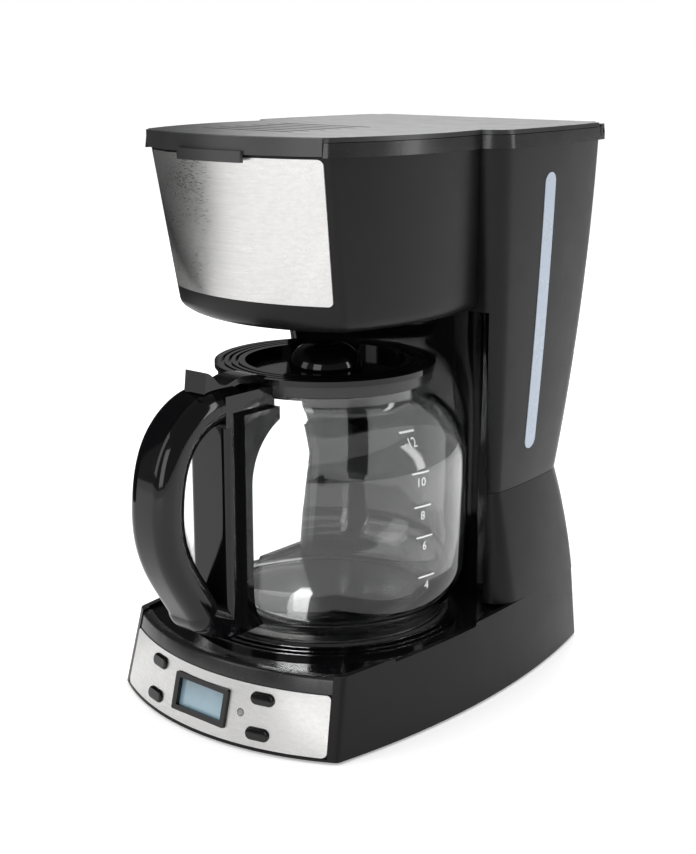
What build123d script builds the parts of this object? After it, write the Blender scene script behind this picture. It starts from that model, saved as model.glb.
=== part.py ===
from build123d import *
import os
from math import asin, atan2, cos, degrees, hypot, radians, sin, sqrt

# Drip coffee maker.  X runs across the machine, Y from front to back, Z up.
# The origin is on the table, in the middle of the machine's outline.

# ---- driving dimensions (mm) -------------------------------------------------
FLOOR_GAP = 1.5          # underside of the base above the table
DECK_Z = 42.0            # top of the deck around the hot plate
LIP_Z = 44.0             # top edge of the base's cheeks
WAIST_Z = 108.0          # seam between the base's skirt and the water tank
HEAD_Z = 213.0           # underside of the brew head
RIM_Z = 300.5            # top edge of the tank and of the brew head
BAND_TOP = 307.4         # top of the fixed rim band
TOP_Z = 310.0            # top of the lid
REAR_Y = 141.0           # back of the machine
WALL = 2.5               # housing wall
SEAM = 0.3               # gap between neighbouring covers
CLEAR = 0.1              # gap around an inlaid cover

CARAFE_Y = -6.0          # axis of the carafe, hot plate and filter basket
BAY_R = 86.0             # concave front of the column, about the carafe's axis
BAY_SHELL = 2.5          # thickness of the glossy column front
TANK_WALL_R = BAY_R + BAY_SHELL + CLEAR + WALL

PLATE_TOP = 47.5         # cooking surface of the hot plate
PLATE_R = 66.5
GLASS_R = 79.0           # widest radius of the carafe
GLASS_WALL = 2.2
GLASS_BOTTOM = PLATE_TOP + SEAM
NECK_R = 54.5
NECK_TOP = 181.5
LID_RING_Z = 183.0       # underside of the carafe lid's flat ring
LID_RING_R = 60.5
CARAFE_HINGE_Y = -70.0
CARAFE_HINGE_Z = 179.0

PARTITION_Y = 60.0       # wall between the brew chamber and the water
HINGE_Y = 137.5          # axis of the machine's lid
HINGE_Z = 305.2
HINGE_R = 3.2
PIN_R = 1.5
PIN_CLEARANCE = 0.08

BASKET_TOP = 284.0
BASKET_R = 54.0
BASKET_FLOOR = HEAD_Z + 3.3
VALVE_TIP = 203.0

BUTTON_X = 38.0
BUTTON_Z = (10.0, 27.8)
BUTTON_SIZE = (13.6, 6.6)
PANEL_TOP = 34.2
PANEL_BOTTOM = 3.2

os.makedirs("parts", exist_ok=True)


def save(builder, name):
    """Labels a finished piece and writes it under its own name."""
    builder.part.label = name
    export_step(builder.part, f"parts/{name}.step")


def between(z, levels):
    """Values at height z, in line between the two nearest levels."""
    for (low, first), (high, second) in zip(levels, levels[1:]):
        if z <= high or (high, second) == levels[-1]:
            share = (z - low) / (high - low)
            return tuple(a + share * (b - a) for a, b in zip(first, second))


def plan(front, bulge, side, rear, front_r, rear_r):
    """Closed plan outline: bulged or straight front, bowed sides, straight back."""
    left_front = (-front[0], front[1])
    left_rear = (-rear[0], rear[1])
    with BuildLine() as outline:
        if bulge:
            ThreePointArc(left_front, (0, front[1] - bulge), front)
        else:
            Line(left_front, front)
        ThreePointArc(front, side, rear)
        Line(rear, left_rear)
        ThreePointArc(left_rear, (-side[0], side[1]), left_front)
    make_face(outline.edges())
    fillet(vertices().group_by(Axis.Y)[0], front_r)
    fillet(vertices().group_by(Axis.Y)[-1], rear_r)


def grown(values, by):
    """The same plan with every side moved outwards."""
    fx, fy, bulge, sx, sy, rx, ry, front_r, rear_r = values
    return ((fx + by, fy - by), bulge, (sx + by, sy), (rx + by, ry + by),
            max(front_r + by, 1.0), max(rear_r + by, 1.0))


# Plans as (front x, front y, bulge, side x, side y, rear x, rear y, radii).
BASE = ((0.0, (79.5, -88.5, 22.0, 91.6, 0.0, 76.0, REAR_Y, 4.0, 5.0)),
        (LIP_Z, (76.0, -78.5, 21.0, 83.0, 5.0, 73.2, REAR_Y, 4.0, 9.0)))
SKIRT = ((LIP_Z, (81.4, 52.0, 0.0, 80.4, 90.0, 73.2, REAR_Y, 14.0, 9.0)),
         (76.0, (76.6, 54.0, 0.0, 76.4, 92.0, 69.2, 140.2, 10.0, 15.0)),
         (WAIST_Z, (71.5, 56.0, 0.0, 70.7, 94.0, 64.0, 138.5, 6.0, 24.0)))
TANK = ((WAIST_Z, (71.5, 56.0, 0.0, 70.7, 94.0, 64.0, 138.5, 6.0, 24.0)),
        (205.0, (80.0, 42.4, 0.0, 80.6, 88.0, 75.8, 139.6, 10.0, 15.0)),
        (RIM_Z, (87.0, 29.0, 0.0, 86.9, 85.0, 79.7, 140.2, 14.0, 6.0)))
HEAD = ((HEAD_Z, (58.5, -57.0, 17.0, 68.5, -10.0, 64.0, 58.0, 6.0, 2.0)),
        (RIM_Z, (62.0, -72.5, 16.0, 77.5, -11.0, 72.0, 46.0, 5.0, 2.0)))
RIM_HEAD = (64.0, -75.0, 17.0, 79.8, -11.0, 74.0, 46.0, 4.0, 2.0)
RIM_TANK = (89.0, 27.5, 0.0, 88.9, 84.0, 83.0, REAR_Y, 15.0, 4.0)


def loft_levels(levels, heights, by=0.0, mode=Mode.ADD):
    """Lofts a housing through its plans at the given heights."""
    sections = []
    for z in heights:
        with BuildSketch(Plane.XY.offset(z)) as section:
            plan(*grown(between(z, levels), by))
        sections.append(section.sketch)
    loft(sections, mode=mode)


def base_solid(by=0.0, low=FLOOR_GAP, high=LIP_Z, mode=Mode.ADD):
    loft_levels(BASE, (low, high), by, mode)


def skirt_solid(by=0.0, low=LIP_Z, mode=Mode.ADD):
    loft_levels(SKIRT, (low, 76.0, WAIST_Z), by, mode)


def tank_solid(by=0.0, low=WAIST_Z + SEAM, high=RIM_Z, mode=Mode.ADD):
    waypoints = [z for z, _ in TANK[1:-1] if low < z]
    loft_levels(TANK, (low, *waypoints, high), by, mode)


def head_solid(by=0.0, low=HEAD_Z, high=RIM_Z, mode=Mode.ADD):
    loft_levels(HEAD, (low, high), by, mode)


def column_front_y(z):
    """Front plane of the column at height z."""
    return between(z, SKIRT if z < WAIST_Z else TANK)[1]


def column_half(z):
    """Half width of the column's flat front, where its rounded corners start."""
    values = between(z, SKIRT if z < WAIST_Z else TANK)
    return values[0] - values[7]


def column_slab(low, high, front, back, side, mode=Mode.ADD):
    """Slab that follows the column's front plane, from front to back of it."""
    for start, end in ((low, WAIST_Z), (WAIST_Z, high)):
        sections = []
        for z in (start, end):
            with BuildSketch(Plane.XY.offset(z)) as section:
                with Locations((0, column_front_y(z) + (front + back) / 2)):
                    Rectangle(2 * (column_half(z) + side), back - front)
            sections.append(section.sketch)
        loft(sections, mode=mode)


def cylinder_z(radius, low, high, x=0.0, y=CARAFE_Y, mode=Mode.ADD):
    """Upright cylinder between two heights."""
    with BuildSketch(Plane.XY.offset(low)) as section:
        with Locations((x, y)):
            Circle(radius)
    extrude(section.sketch, amount=high - low, mode=mode)


def ring_z(outer, inner, low, high, x=0.0, y=CARAFE_Y, mode=Mode.ADD):
    """Upright ring between two heights."""
    with BuildSketch(Plane.XY.offset(low)) as section:
        with Locations((x, y)):
            Circle(outer)
            Circle(inner, mode=Mode.SUBTRACT)
    extrude(section.sketch, amount=high - low, mode=mode)


def block(x0, x1, y0, y1, z0, z1, mode=Mode.ADD):
    """Box between two corners."""
    with BuildSketch(Plane.XY.offset(z0)) as section:
        with Locations(((x0 + x1) / 2, (y0 + y1) / 2)):
            Rectangle(x1 - x0, y1 - y0)
    extrude(section.sketch, amount=z1 - z0, mode=mode)


# ---- base ----------------------------------------------------------------------
PANEL_HALF_LOW, PANEL_HALF_HIGH = 74.1, 71.5
FRONT_PLANE = Plane.XZ.offset(130)      # upright plane in front of the machine


def front_window(low, high, grow, mode, radius=2.5):
    """Everything behind a trapezoid in the base's front, with rounded corners."""
    def half(z):
        share = (z - PANEL_BOTTOM) / (PANEL_TOP - PANEL_BOTTOM)
        return PANEL_HALF_LOW + share * (PANEL_HALF_HIGH - PANEL_HALF_LOW) + grow

    with BuildSketch(FRONT_PLANE) as window:
        with BuildLine():
            Polyline((-half(low), low), (half(low), low), (half(high), high),
                     (-half(high), high), close=True)
        make_face()
        if radius:
            fillet(vertices(), radius)
    extrude(window.sketch, amount=-80, mode=mode)


with BuildPart() as panel_pocket:
    base_solid(by=2)
    base_solid(by=-1.4, low=0.0, high=LIP_Z + 2, mode=Mode.SUBTRACT)
    front_window(PANEL_BOTTOM - 0.4, PANEL_TOP + 0.2, 0.3, Mode.INTERSECT, radius=0)

with BuildPart() as bezel_pocket:
    base_solid(by=2)
    base_solid(by=-4.6, low=0.0, high=LIP_Z + 2, mode=Mode.SUBTRACT)
    front_window(PANEL_TOP + 0.1, LIP_Z + 2, 0.3, Mode.INTERSECT, radius=0)

PANEL_LEAN = atan2(BASE[1][1][1] - BASE[0][1][1] + BASE[0][1][2] - BASE[1][1][2], LIP_Z)


def panel_plane(x, z):
    """Plane on the base's front surface at (x, z), facing straight out of it."""
    half, corner_y, bulge = between(z, BASE)[:3]
    radius = (half ** 2 + bulge ** 2) / (2 * bulge)
    y = corner_y - bulge + radius - sqrt(radius ** 2 - x ** 2)
    turn = asin(x / radius)
    normal = (sin(turn) * cos(PANEL_LEAN), -cos(turn) * cos(PANEL_LEAN), sin(PANEL_LEAN))
    return Plane(origin=(x, y, z), x_dir=(cos(turn), sin(turn), 0), z_dir=normal)


MID_Z = 18.9
BUTTONS = {
    "hour_button": panel_plane(-BUTTON_X, BUTTON_Z[1]),
    "minute_button": panel_plane(-BUTTON_X, BUTTON_Z[0]),
    "program_button": panel_plane(BUTTON_X, BUTTON_Z[1]),
    "power_button": panel_plane(BUTTON_X, BUTTON_Z[0]),
}
LED_PLANE = panel_plane(26.5, MID_Z)
DISPLAY_PLANE = panel_plane(-1.0, MID_Z)
DISPLAY_SIZE = (39.0, 20.4)


def panel_prism(plane, draw, start, end, mode=Mode.ADD):
    """Prism square to the panel; start and end are measured outwards from it."""
    with BuildSketch(plane.offset(start)) as section:
        draw()
    extrude(section.sketch, amount=end - start, mode=mode)


def panel_openings(grow):
    """Holes for the four buttons, the lamp and the display."""
    for plane in BUTTONS.values():
        panel_prism(plane, lambda: SlotOverall(BUTTON_SIZE[0] + grow, BUTTON_SIZE[1] + grow),
                    -8, 3, Mode.SUBTRACT)
    panel_prism(LED_PLANE, lambda: Circle(1.9 + grow / 2), -8, 3, Mode.SUBTRACT)
    panel_prism(DISPLAY_PLANE,
                lambda: RectangleRounded(DISPLAY_SIZE[0] + grow, DISPLAY_SIZE[1] + grow, 1.2),
                -8, 3, Mode.SUBTRACT)


with BuildPart() as control_panel:
    base_solid(low=FLOOR_GAP, high=LIP_Z)
    base_solid(by=-1.3, low=0.0, high=LIP_Z + 2, mode=Mode.SUBTRACT)
    front_window(PANEL_BOTTOM, PANEL_TOP, 0.0, Mode.INTERSECT)
    panel_openings(0.4)
save(control_panel, "control_panel")

with BuildPart() as front_bezel:
    base_solid(by=-0.4, low=PANEL_TOP - 3, high=DECK_Z + 0.6)
    base_solid(by=-4.4, low=0.0, high=LIP_Z + 2, mode=Mode.SUBTRACT)
    front_window(PANEL_TOP + 0.3, DECK_Z + 0.6, 0.0, Mode.INTERSECT, radius=0)
    fillet(edges().group_by(Axis.Z)[-1].sort_by(Axis.Y)[0], 2.2)
save(front_bezel, "front_bezel")

BOSSES = [(78.0, -30.0), (-78.0, -30.0), (71.0, 112.0), (-71.0, 112.0)]
BOTTOM_TOP = 3.6         # inside face of the bottom plate
GLAND_X, GLAND_Z = 42.0, 22.0

with BuildPart() as base_housing:
    base_solid()
    skirt_solid()
    base_solid(by=-3, low=0.0, high=LIP_Z, mode=Mode.SUBTRACT)
    skirt_solid(by=-3, mode=Mode.SUBTRACT)
    for x, y in BOSSES:
        cylinder_z(5, BOTTOM_TOP + 0.1, 34, x, y)
    cylinder_z(BAY_R + BAY_SHELL + CLEAR, DECK_Z, WAIST_Z + 1, mode=Mode.SUBTRACT)
    column_slab(DECK_Z, WAIST_Z + 1, -2, BAY_SHELL + CLEAR, CLEAR, mode=Mode.SUBTRACT)
    add(panel_pocket.part, mode=Mode.SUBTRACT)
    add(bezel_pocket.part, mode=Mode.SUBTRACT)
    panel_openings(1.0)
    for x, y in BOSSES:
        cylinder_z(1.3, 0, 24, x, y, mode=Mode.SUBTRACT)
    with BuildSketch(Plane.XZ.offset(-REAR_Y - 2)) as gland_hole:
        with Locations((GLAND_X, GLAND_Z)):
            RectangleRounded(18.2, 14.2, 4)
    extrude(gland_hole.sketch, amount=8, mode=Mode.SUBTRACT)
save(base_housing, "base_housing")

FEET = [(62.0, -72.0), (-62.0, -72.0), (60.0, 122.0), (-60.0, 122.0)]

with BuildPart() as bottom_plate:
    base_solid(by=-3.3, low=1.8, high=BOTTOM_TOP)
    for x, y in FEET:
        cylinder_z(3.1, 0, 6, x, y, mode=Mode.SUBTRACT)
    for x, y in BOSSES:
        cylinder_z(1.8, 0, 6, x, y, mode=Mode.SUBTRACT)
        cylinder_z(3.4, 0, 2.9, x, y, mode=Mode.SUBTRACT)
    with BuildSketch(Plane.XY) as vents:
        with Locations((0, 60)):
            with GridLocations(9, 26, 9, 2):
                SlotOverall(20, 3, rotation=90)
    extrude(vents.sketch, amount=6, mode=Mode.SUBTRACT)
save(bottom_plate, "bottom_plate")

with BuildPart() as rubber_feet:
    for x, y in FEET:
        cylinder_z(8, 0, 1.7, x, y)
        cylinder_z(3.0, 1.7, 5.2, x, y)
    fillet(edges().group_by(Axis.Z)[0], 0.6)
save(rubber_feet, "rubber_feet")

with BuildPart() as bottom_screws:
    for x, y in BOSSES:
        cylinder_z(3.0, 1.7, 2.8, x, y)
        cylinder_z(1.25, 2.8, 16, x, y)
save(bottom_screws, "bottom_screws")

with BuildPart() as cord_gland:
    for start, length, width, height in ((REAR_Y + 0.3, 3.5, 18, 14), (REAR_Y - 3.2, 2.6, 23, 19)):
        with BuildSketch(Plane.XZ.offset(-start)) as flange:
            with Locations((GLAND_X, GLAND_Z)):
                RectangleRounded(width, height, 4)
        extrude(flange.sketch, amount=length)
    with BuildSketch(Plane.XZ.offset(-REAR_Y - 5)) as cable_way:
        with Locations((GLAND_X, GLAND_Z)):
            Circle(3.4)
    extrude(cable_way.sketch, amount=20, mode=Mode.SUBTRACT)
save(cord_gland, "cord_gland")

# ---- controls behind the panel ---------------------------------------------------
BUTTON_TRAVEL = 1.0
STEM_END = -11.0
BOARD_FRONT = -20.6

with BuildPart() as display_frame:
    panel_prism(DISPLAY_PLANE, lambda: RectangleRounded(*DISPLAY_SIZE, 1.0), -5.6, 0.5)
    panel_prism(DISPLAY_PLANE, lambda: Rectangle(33.0, 14.8), -2.2, 2, Mode.SUBTRACT)
    panel_prism(DISPLAY_PLANE, lambda: Rectangle(36.0, 17.4), -6, -2.2, Mode.SUBTRACT)
save(display_frame, "display_frame")

with BuildPart() as display_window:
    panel_prism(DISPLAY_PLANE, lambda: Rectangle(35.8, 17.2), -3.5, -2.3)
save(display_window, "display_window")

with BuildPart() as display_module:
    panel_prism(DISPLAY_PLANE, lambda: Rectangle(35.6, 17.0), -7.6, -3.6)
    panel_prism(DISPLAY_PLANE, lambda: Rectangle(30.0, 12.0), BOARD_FRONT + 0.1, -7.6)
save(display_module, "display_module")

with BuildPart() as indicator_lens:
    panel_prism(LED_PLANE, lambda: Circle(1.8), -7, 0.4)
    panel_prism(LED_PLANE, lambda: Circle(2.8), -10, -7)
    fillet(edges().sort_by(Axis.Y)[0], 0.5)
save(indicator_lens, "indicator_lens")

for name, plane in BUTTONS.items():
    with BuildPart() as button:
        panel_prism(plane, lambda: SlotOverall(*BUTTON_SIZE), -5.4, 1.6)
        fillet(button.edges().filter_by(lambda e: plane.to_local_coords(e.center()).Z > 1.5), 1.1)
        panel_prism(plane, lambda: SlotOverall(BUTTON_SIZE[0] + 2, BUTTON_SIZE[1] + 2), -6.6, -5.4)
        panel_prism(plane, lambda: Circle(2.0), STEM_END, -6.6)
    save(button, name)

with BuildPart() as button_switches:
    for plane in BUTTONS.values():
        panel_prism(plane, lambda: Rectangle(6, 5), STEM_END - BUTTON_TRAVEL - 3.2,
                    STEM_END - BUTTON_TRAVEL - 0.9)
        panel_prism(plane, lambda: Circle(1.6), STEM_END - BUTTON_TRAVEL - 0.9,
                    STEM_END - BUTTON_TRAVEL - 0.2)
save(button_switches, "button_switches")

BOARD_PLANE = panel_plane(0, MID_Z)
BOARD_RISE = 4.6
with BuildPart() as clock_board:
    with BuildSketch(BOARD_PLANE.offset(BOARD_FRONT)) as board:
        with Locations((0, BOARD_RISE)):
            RectangleRounded(104, 26, 2)
            with GridLocations(96, 20, 2, 2):
                Circle(1.6, mode=Mode.SUBTRACT)
    extrude(board.sketch, amount=-1.6)
    with BuildSketch(BOARD_PLANE.offset(BOARD_FRONT - 1.6)) as chips:
        with Locations((-24, BOARD_RISE)):
            Rectangle(12, 8)
        with Locations((16, BOARD_RISE + 3)):
            Rectangle(8, 8)
    extrude(chips.sketch, amount=-2)
save(clock_board, "clock_board")

# ---- deck, hot plate and heater ----------------------------------------------------
SEAL_R = PLATE_R + 2.6
RIDGES = ((69.6, 71.8, 3.8), (73.4, 75.2, 3.0), (76.6, 78.2, 2.3))

with BuildPart() as deck_plate:
    base_solid(by=-3.15, low=DECK_Z - 2.5, high=DECK_Z)
    block(-100, 100, 86, 160, 30, 50, mode=Mode.SUBTRACT)
    for inner, outer, height in RIDGES:
        ring_z(outer, inner, DECK_Z - 0.5, DECK_Z + height)
    cylinder_z(SEAL_R + 0.1, 30, 60, mode=Mode.SUBTRACT)
    add(bezel_pocket.part, mode=Mode.SUBTRACT)
save(deck_plate, "deck_plate")

with BuildPart() as plate_seal:
    with BuildSketch(Plane.XZ.offset(-CARAFE_Y)) as seal_profile:
        with BuildLine():
            Polyline((PLATE_R + 0.2, 38.5), (SEAL_R, 38.5), (SEAL_R, 45.6), (PLATE_R + 1.6, 46.8),
                     (PLATE_R + 0.2, 46.2), close=True)
        make_face()
    revolve(seal_profile.sketch, axis=Axis((0, CARAFE_Y, 0), (0, 0, 1)))
save(plate_seal, "plate_seal")

with BuildPart() as hot_plate:
    cylinder_z(PLATE_R, 45.5, PLATE_TOP)
    ring_z(PLATE_R - 0.3, PLATE_R - 2.3, 39.0, 45.5)
    cylinder_z(4, 39.8, 45.5)
    fillet(edges().filter_by(GeomType.CIRCLE).group_by(Axis.Z)[-1], 1.2)
save(hot_plate, "hot_plate")

HEATER_R = 44.0
HEATER_OPEN = 34.0       # half of the gap between the heater's two ends, in degrees
HEATER_TOP = 45.4


def heater_arc():
    """Arc about the carafe's axis, open towards the back of the machine."""
    return CenterArc((0, CARAFE_Y, 0), HEATER_R, 90 + HEATER_OPEN, 360 - 2 * HEATER_OPEN)


with BuildPart() as heating_element:
    with BuildSketch(Plane.XY.offset(HEATER_TOP - 9)) as horseshoe:
        with BuildLine():
            heater_arc()
        trace(line_width=12)
    extrude(horseshoe.sketch, amount=9)
    with BuildSketch(Plane.XY.offset(HEATER_TOP - 13)) as sheath:
        with BuildLine():
            heater_arc()
        trace(line_width=7)
    extrude(sheath.sketch, amount=5)
    fillet(edges().group_by(Axis.Z)[0], 1.0)
save(heating_element, "heating_element")

TUBE_CENTRE_Z = HEATER_TOP - 18.2
TUBE_R = 5.0
TUBE_BEND_R = 12.0
TUBE_LEG = 12.0

with BuildPart() as water_tube:
    with BuildLine(Plane.XY.offset(TUBE_CENTRE_Z)) as tube_path:
        loop = CenterArc((0, CARAFE_Y), HEATER_R, 90 + HEATER_OPEN, 360 - 2 * HEATER_OPEN)
        inlet = JernArc(loop @ 0, -(loop % 0), TUBE_BEND_R, 90 - HEATER_OPEN)
        Line(inlet @ 1, (inlet @ 1) + (0, TUBE_LEG))
        outlet = JernArc(loop @ 1, loop % 1, TUBE_BEND_R, HEATER_OPEN - 90)
        Line(outlet @ 1, (outlet @ 1) + (0, TUBE_LEG))
    with BuildSketch(Plane((inlet @ 1) + (0, TUBE_LEG), z_dir=(0, -1, 0))) as tube_ring:
        Circle(TUBE_R)
        Circle(TUBE_R - 1.2, mode=Mode.SUBTRACT)
    sweep(tube_ring.sketch, path=tube_path.wires()[0])
save(water_tube, "water_tube")
TUBE_X = (outlet @ 1).X
TUBE_END_Y = (outlet @ 1).Y + TUBE_LEG

BRACKET_HALF = HEATER_R - 4.6
with BuildPart() as element_bracket:
    block(-BRACKET_HALF, BRACKET_HALF, CARAFE_Y - 5, CARAFE_Y + 5, 31.0, 32.4)
    for x in (-BRACKET_HALF, BRACKET_HALF - 1.4):
        block(x, x + 1.4, CARAFE_Y - 5, CARAFE_Y + 5, 31.0, HEATER_TOP - 9.1)
    cylinder_z(2.2, 25, 50, mode=Mode.SUBTRACT)
save(element_bracket, "element_bracket")

with BuildPart() as bracket_screw:
    cylinder_z(4.0, 28.0, 30.5)
    cylinder_z(2.0, 30.5, 39.7)
save(bracket_screw, "bracket_screw")

THERMOSTAT_XY = (0.0, CARAFE_Y - 22)
with BuildPart() as thermostat:
    cylinder_z(8.5, 38.5, 45.3, *THERMOSTAT_XY)
    cylinder_z(6.5, 33.0, 38.5, *THERMOSTAT_XY)
    for side in (-1, 1):
        block(side * 6 - 3.2, side * 6 + 3.2, THERMOSTAT_XY[1] - 2.5, THERMOSTAT_XY[1] + 2.5, 31.5, 33.2)
save(thermostat, "thermostat")

with BuildPart() as thermal_fuses:
    for side in (-1, 1):
        with BuildSketch(Plane.XZ.offset(-CARAFE_Y - 12)) as fuse:
            with Locations((side * 17, 41.5)):
                Circle(2.4)
        extrude(fuse.sketch, amount=-14)
        with BuildSketch(Plane.XZ.offset(-CARAFE_Y - 8)) as lead:
            with Locations((side * 17, 41.5)):
                Circle(0.6)
        extrude(lead.sketch, amount=-22)
save(thermal_fuses, "thermal_fuses")

with BuildPart() as power_board:
    block(-66, -30, 52, 118, 12, 13.6)
    block(-62, -44, 66, 88, 13.6, 30)
    block(-40, -33, 60, 74, 13.6, 24)
    block(-60, -46, 96, 106, 13.6, 25)
    for x in (-62, -34):
        for y in (56, 114):
            cylinder_z(2.0, BOTTOM_TOP + 0.05, 12, x, y)
save(power_board, "power_board")

# ---- column, tank and water path ---------------------------------------------------
HOSE_Y = 100.0
HOSE_R = 7.0
FLOOR_TOP = WAIST_Z + 3.0
COLUMN_LOW, COLUMN_HIGH = DECK_Z + 0.2, HEAD_Z - SEAM

with BuildPart() as bay_wrap:
    column_slab(COLUMN_LOW, COLUMN_HIGH, 0, 60, 2)
    cylinder_z(BAY_R + BAY_SHELL, COLUMN_LOW, COLUMN_HIGH, mode=Mode.INTERSECT)

with BuildPart() as column_front:
    column_slab(COLUMN_LOW, COLUMN_HIGH, 0, BAY_SHELL, 0)
    add(bay_wrap.part)
    cylinder_z(BAY_R, DECK_Z - 1, HEAD_Z + 1, mode=Mode.SUBTRACT)
save(column_front, "column_front")

GAUGE_LOW = (85.5, 129.5)        # (y, z) of the level gauge's lower end
GAUGE_HIGH = (79.5, 286.0)
GAUGE_WIDTH = 10.4


def gauge_slot(width, mode):
    """Round-ended slot through the right side, along the level gauge."""
    rise = hypot(GAUGE_HIGH[0] - GAUGE_LOW[0], GAUGE_HIGH[1] - GAUGE_LOW[1])
    middle = ((GAUGE_LOW[0] + GAUGE_HIGH[0]) / 2, (GAUGE_LOW[1] + GAUGE_HIGH[1]) / 2)
    tilt = degrees(atan2(GAUGE_HIGH[1] - GAUGE_LOW[1], GAUGE_HIGH[0] - GAUGE_LOW[0]))
    with BuildSketch(Plane.YZ.offset(50)) as slot:
        with Locations(middle):
            SlotOverall(rise + width - GAUGE_WIDTH, width, rotation=tilt)
    extrude(slot.sketch, amount=60, mode=mode)


with BuildPart() as water_space:
    tank_solid(by=-WALL, low=FLOOR_TOP, high=RIM_Z + 1)
    block(-100, 100, 0, PARTITION_Y + WALL, HEAD_Z - WALL, RIM_Z + 2, mode=Mode.SUBTRACT)
    cylinder_z(TANK_WALL_R, 0, HEAD_Z + 3, mode=Mode.SUBTRACT)
    column_slab(0, HEAD_Z + 1, -30, BAY_SHELL + CLEAR + WALL, 12, mode=Mode.SUBTRACT)

with BuildPart() as chamber_rear:
    tank_solid(by=-WALL, low=HEAD_Z + 3, high=RIM_Z + 1)
    with BuildSketch(Plane.XY.offset(HEAD_Z + 3)) as chamber_plan:
        with Locations((0, PARTITION_Y - 40)):
            Rectangle(144, 80)
    extrude(chamber_plan.sketch, amount=100, mode=Mode.INTERSECT)

with BuildPart() as tank_housing:
    tank_solid()
    cylinder_z(BAY_R + BAY_SHELL + CLEAR, 0, HEAD_Z, mode=Mode.SUBTRACT)
    column_slab(0, HEAD_Z, -2, BAY_SHELL + CLEAR, CLEAR, mode=Mode.SUBTRACT)
    add(water_space.part, mode=Mode.SUBTRACT)
    add(chamber_rear.part, mode=Mode.SUBTRACT)
    block(-62, 62, 0, PARTITION_Y - 1, HEAD_Z + 3, RIM_Z + 2, mode=Mode.SUBTRACT)
    gauge_slot(GAUGE_WIDTH + 0.2, Mode.SUBTRACT)
    block(-11 + TUBE_X, 11 + TUBE_X, PARTITION_Y - 1, PARTITION_Y + 4, 295, RIM_Z + 2, mode=Mode.SUBTRACT)
    cylinder_z(6.0, WAIST_Z - 1, FLOOR_TOP + 1, TUBE_X, HOSE_Y, mode=Mode.SUBTRACT)
    cylinder_z(TUBE_R, WAIST_Z - 13, WAIST_Z + 2, -TUBE_X, HOSE_Y)
    cylinder_z(TUBE_R - 1.3, WAIST_Z - 14, FLOOR_TOP + 1, -TUBE_X, HOSE_Y, mode=Mode.SUBTRACT)
save(tank_housing, "tank_housing")

with BuildPart() as water_gauge:
    tank_solid(by=0.3)
    tank_solid(by=-2.2, low=WAIST_Z - 1, high=RIM_Z + 1, mode=Mode.SUBTRACT)
    gauge_slot(GAUGE_WIDTH, Mode.INTERSECT)
save(water_gauge, "water_gauge")


def hose(radius, bore, x, start_z):
    """Hose from a heater tube's end to the foot of the tank, in one wide bend."""
    with BuildLine() as route:
        FilletPolyline((x, TUBE_END_Y - 9, TUBE_CENTRE_Z), (x, HOSE_Y, TUBE_CENTRE_Z),
                       (x, HOSE_Y, start_z), radius=26)
    with BuildSketch(Plane((x, TUBE_END_Y - 9, TUBE_CENTRE_Z), z_dir=(0, 1, 0))) as ring:
        Circle(radius)
        Circle(bore, mode=Mode.SUBTRACT)
    sweep(ring.sketch, path=route.wires()[0])


with BuildPart() as cold_water_hose:
    hose(HOSE_R, TUBE_R + 0.02, -TUBE_X, WAIST_Z - 3)
save(cold_water_hose, "cold_water_hose")

with BuildPart() as hot_water_hose:
    hose(HOSE_R, TUBE_R + 0.02, TUBE_X, WAIST_Z - 12)
save(hot_water_hose, "hot_water_hose")

NOZZLE_TOP = 297.0
with BuildPart() as riser_pipe:
    ring_z(TUBE_R, TUBE_R - 1.2, WAIST_Z - 22, NOZZLE_TOP, TUBE_X, HOSE_Y)
save(riser_pipe, "riser_pipe")

with BuildPart() as riser_grommet:
    ring_z(5.95, TUBE_R + 0.02, WAIST_Z + 0.4, FLOOR_TOP + 1.5, TUBE_X, HOSE_Y)
    ring_z(8.0, TUBE_R + 0.02, FLOOR_TOP + 0.02, FLOOR_TOP + 1.5, TUBE_X, HOSE_Y)
save(riser_grommet, "riser_grommet")

with BuildPart() as check_valve:
    ring_z(TUBE_R - 1.35, 1.8, WAIST_Z - 9, WAIST_Z + 1, -TUBE_X, HOSE_Y)
    ring_z(7.0, 1.8, FLOOR_TOP + 0.02, FLOOR_TOP + 2, -TUBE_X, HOSE_Y)
    ring_z(TUBE_R - 1.35, 1.8, WAIST_Z + 1, FLOOR_TOP + 2, -TUBE_X, HOSE_Y)
save(check_valve, "check_valve")

with BuildPart() as hose_clips:
    for x in (-TUBE_X, TUBE_X):
        with BuildSketch(Plane.XZ.offset(-TUBE_END_Y + 2)) as clip:
            with Locations((x, TUBE_CENTRE_Z)):
                Circle(HOSE_R + 1.0)
                Circle(HOSE_R + 0.02, mode=Mode.SUBTRACT)
        extrude(clip.sketch, amount=5)
        ring_z(HOSE_R + 1.0, HOSE_R + 0.02, WAIST_Z - 20, WAIST_Z - 15, x, HOSE_Y)
save(hose_clips, "hose_clips")

# ---- brew head ---------------------------------------------------------------------
HEAD_PANEL_LOW, HEAD_PANEL_HIGH = 227.5, 299.6
HEAD_PANEL_HALF = (54.9, 59.0)
SPIGOT_R = 13.0


def head_window(grow, mode, radius=2.5):
    """Everything behind a trapezoid in the head's front, with rounded corners."""
    low, high = HEAD_PANEL_LOW - grow, HEAD_PANEL_HIGH + grow
    bottom, top = (half + grow for half in HEAD_PANEL_HALF)
    with BuildSketch(FRONT_PLANE) as window:
        with BuildLine():
            Polyline((-bottom, low), (bottom, low), (top, high), (-top, high), close=True)
        make_face()
        if radius:
            fillet(vertices(), radius)
    extrude(window.sketch, amount=-90, mode=mode)


with BuildPart() as head_pocket:
    head_solid(by=2)
    head_solid(by=-0.9, low=HEAD_Z - 1, high=RIM_Z + 1, mode=Mode.SUBTRACT)
    head_window(0.15, Mode.INTERSECT)

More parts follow.
